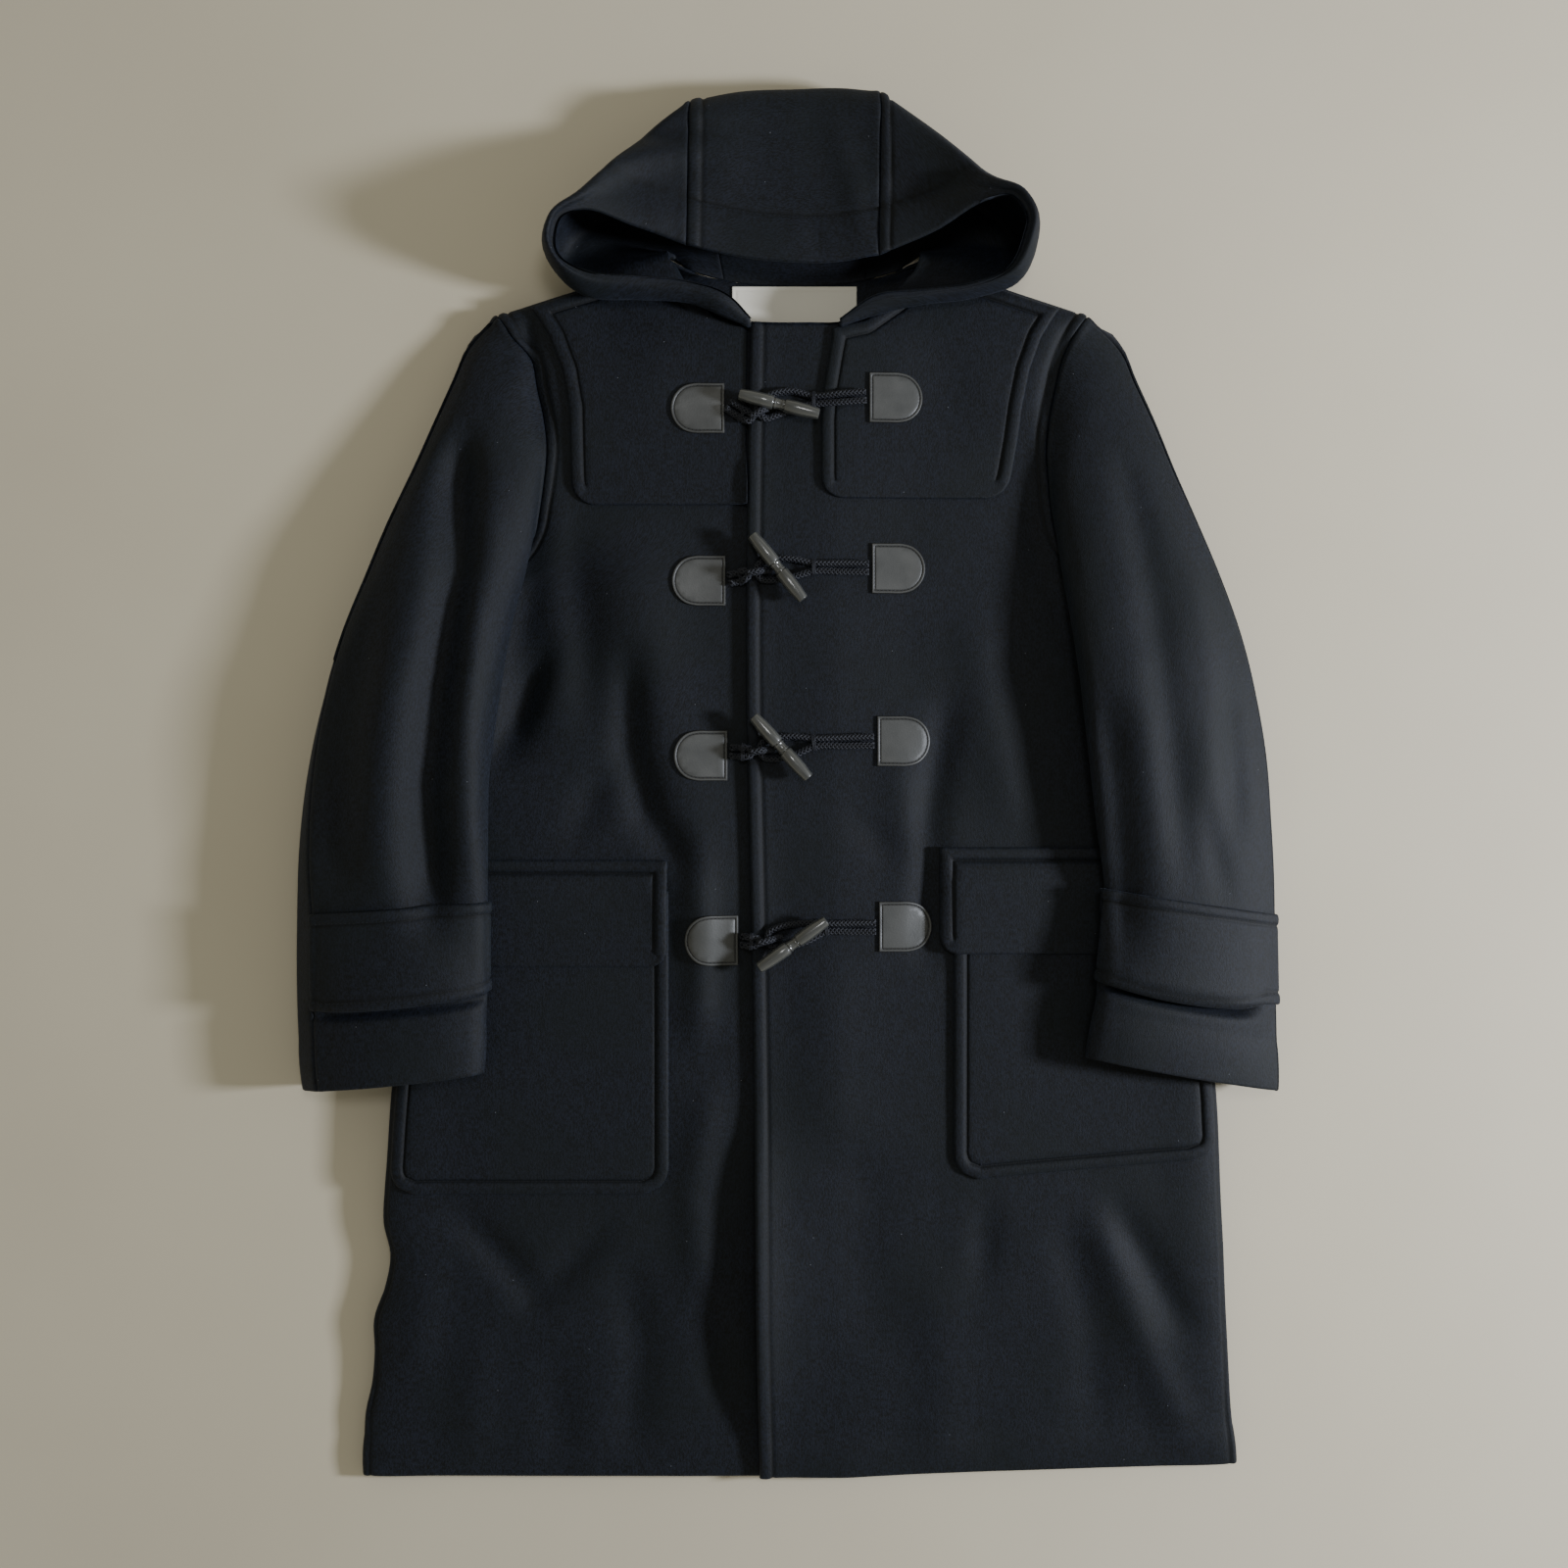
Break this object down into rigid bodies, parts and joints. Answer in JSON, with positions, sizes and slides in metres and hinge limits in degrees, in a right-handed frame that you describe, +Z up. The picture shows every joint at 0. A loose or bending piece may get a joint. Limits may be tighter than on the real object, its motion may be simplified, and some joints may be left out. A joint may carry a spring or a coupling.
{
  "type": "duffle coat",
  "caption": "Knee-length hooded duffle coat in heavy wool, fastened with horn toggles and cord loops, laid out flat on its back.",
  "frame": {"origin": "middle of the coat's bounding box on the surface that it lies on", "axes": "+X to the wearer's left, +Y from the hem to the hood, +Z up from the surface, out of the coat's front"},
  "size_m": [0.7915, 1.125, 0.0837],
  "materials": {
    "navy_wool": "milled melton wool, matt",
    "charcoal_leather": "smooth, satin",
    "navy_braid": "round braided cord",
    "black_horn": "polished horn",
    "white_tape": "woven label, blank"
  },
  "bodies": {
    "root": {"back": "navy_wool", "front_right": "navy_wool", "front_left": "navy_wool", "upper_sleeve_right": "navy_wool", "upper_sleeve_left": "navy_wool", "under_sleeve_right": "navy_wool", "under_sleeve_left": "navy_wool", "cuff_strap_right": "navy_wool", "cuff_strap_left": "navy_wool", "hood_centre": "navy_wool", "hood_right": "navy_wool", "hood_left": "navy_wool", "yoke_right": "navy_wool", "yoke_left": "navy_wool", "pocket_right": "navy_wool", "pocket_left": "navy_wool", "pocket_flap_right": "navy_wool", "pocket_flap_left": "navy_wool", "toggle_patch_1": "charcoal_leather", "toggle_patch_2": "charcoal_leather", "toggle_patch_3": "charcoal_leather", "toggle_patch_4": "charcoal_leather", "loop_patch_1": "charcoal_leather", "loop_patch_2": "charcoal_leather", "loop_patch_3": "charcoal_leather", "loop_patch_4": "charcoal_leather", "toggle_1": "black_horn", "toggle_2": "black_horn", "toggle_3": "black_horn", "toggle_4": "black_horn", "toggle_cord_1": "navy_braid", "toggle_cord_2": "navy_braid", "toggle_cord_3": "navy_braid", "toggle_cord_4": "navy_braid", "toggle_shank_1": "navy_braid", "toggle_shank_2": "navy_braid", "toggle_shank_3": "navy_braid", "toggle_shank_4": "navy_braid", "loop_cord_1": "navy_braid", "loop_cord_2": "navy_braid", "loop_cord_3": "navy_braid", "loop_cord_4": "navy_braid", "neck_label": "white_tape"}
  },
  "joints": []
}
